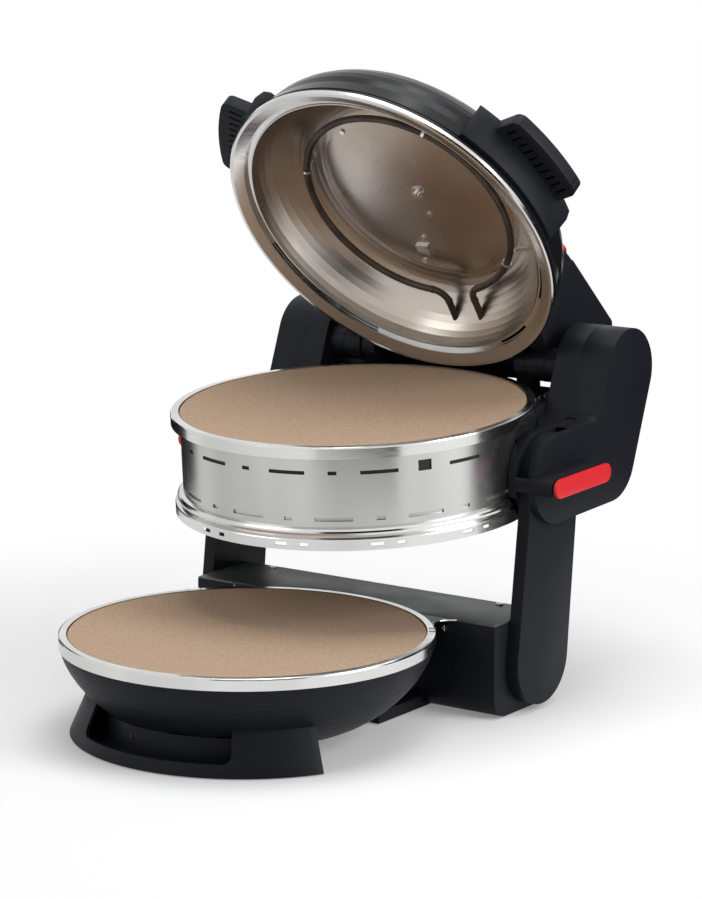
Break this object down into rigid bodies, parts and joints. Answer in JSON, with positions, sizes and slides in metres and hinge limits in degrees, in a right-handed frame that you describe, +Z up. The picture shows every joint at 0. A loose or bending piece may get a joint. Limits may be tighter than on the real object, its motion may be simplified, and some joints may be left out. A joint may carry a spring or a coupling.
{
  "type": "electric pizza maker",
  "caption": "Electric pizza maker with a round lower pan, a lift-up drum on two swinging side arms and a domed lid hinged to the drum, shown open.",
  "frame": {"origin": "bottom centre of the open machine's bounding box, on the table", "axes": "+Z up, front towards -Y, +X to the right of someone who faces the machine's front"},
  "size_m": [0.4398, 0.6236, 0.5954],
  "materials": {
    "black_plastic": "fine matte texture",
    "brushed_steel": "polished, fine circular brushing",
    "reflector_sheet": "satin spun sheet",
    "baking_stone": "unglazed ceramic, slightly speckled",
    "element_tube": "heat-darkened steel",
    "rubber": "matte",
    "top_plate": "satin grey-green",
    "bright_steel": "plain bright steel",
    "cast_alloy": "die-cast, dark painted",
    "red_plastic": "semi-gloss moulded"
  },
  "bodies": {
    "base": {"base_housing": "black_plastic", "base_top_plate": "top_plate", "base_bottom_cover": "black_plastic", "pan_bowl": "black_plastic", "pan_rim": "brushed_steel", "lower_reflector": "reflector_sheet", "lower_heater": "element_tube", "lower_stone": "baking_stone", "front_foot": "black_plastic", "rubber_pads": "rubber", "base_screws": "bright_steel", "cord_gland": "rubber", "pivot_boss_left": "cast_alloy", "pivot_boss_right": "cast_alloy"},
    "arms": {"arm_plate_left": "black_plastic", "arm_plate_right": "black_plastic", "arm_cover_left": "black_plastic", "arm_cover_right": "black_plastic", "arm_pin_left": "bright_steel", "arm_pin_right": "bright_steel"},
    "link_left": {"level_link_left": "bright_steel"},
    "link_right": {"level_link_right": "bright_steel"},
    "drum": {"drum_wall": "brushed_steel", "drum_rim": "brushed_steel", "drum_flange": "brushed_steel", "upper_stone": "baking_stone", "drum_tray": "reflector_sheet", "upper_heater": "element_tube", "drum_reflector": "reflector_sheet", "drum_heater": "element_tube", "drum_mount_left": "black_plastic", "drum_mount_right": "black_plastic", "carrier_frame_left": "cast_alloy", "carrier_frame_right": "cast_alloy", "carrier_inner_left": "black_plastic", "carrier_inner_right": "black_plastic", "carrier_cover_left": "black_plastic", "carrier_cover_right": "black_plastic", "handle_bar_left": "black_plastic", "handle_bar_right": "black_plastic", "hinge_beam": "black_plastic", "hinge_post_left": "black_plastic", "hinge_post_right": "black_plastic", "hinge_pins": "bright_steel", "carrier_screws": "bright_steel"},
    "button_left": {"release_button_left": "red_plastic"},
    "button_right": {"release_button_right": "red_plastic"},
    "lid": {"lid_shell": "black_plastic", "lid_rim": "brushed_steel", "lid_reflector": "reflector_sheet", "lid_heater": "element_tube", "heater_clips": "bright_steel", "lid_fasteners": "bright_steel", "lid_housing": "black_plastic", "lid_grip_left": "black_plastic", "lid_grip_right": "black_plastic"},
    "knob": {"thermostat_knob": "red_plastic"}
  },
  "joints": [
    {"name": "arm_swing", "type": "hinge", "parent": "base", "child": "arms", "pos_m": [0, 0.07289, 0.04987], "axis": [1, 0, 0], "range_deg": [0, 69.9]},
    {"name": "drum_level", "type": "hinge", "parent": "arms", "child": "drum", "pos_m": [0, 0.09267, 0.22083], "axis": [1, 0, 0], "range_deg": [-73.65, 0]},
    {"name": "link_left_swing", "type": "hinge", "parent": "base", "child": "link_left", "pos_m": [-0.1815, 0.09225, 0.06032], "axis": [1, 0, 0], "range_deg": [0, 69.95]},
    {"name": "link_right_swing", "type": "hinge", "parent": "base", "child": "link_right", "pos_m": [0.1815, 0.09225, 0.06032], "axis": [1, 0, 0], "range_deg": [0, 69.95]},
    {"name": "lid_hinge", "type": "hinge", "parent": "drum", "child": "lid", "pos_m": [0, 0.19903, 0.30547], "axis": [1, 0, 0], "range_deg": [0, 58.2]},
    {"name": "button_left_press", "type": "slide", "parent": "drum", "child": "button_left", "axis": [1, 0, 0], "range_m": [0, 0.002], "stiffness_N_per_m": 400, "springref_m": -0.002},
    {"name": "button_right_press", "type": "slide", "parent": "drum", "child": "button_right", "axis": [-1, 0, 0], "range_m": [0, 0.002], "stiffness_N_per_m": 400, "springref_m": -0.002},
    {"name": "knob_turn", "type": "hinge", "parent": "lid", "child": "knob", "pos_m": [0.095, 0.22596, 0.41189], "axis": [0, 0.673, 0.7396], "range_deg": [-270, 0]}
  ],
  "couplings": [
    {"joint": "drum_level", "follows": "arm_swing", "ratio": -1.0529},
    {"joint": "link_left_swing", "follows": "arm_swing", "ratio": 1},
    {"joint": "link_right_swing", "follows": "arm_swing", "ratio": 1}
  ]
}
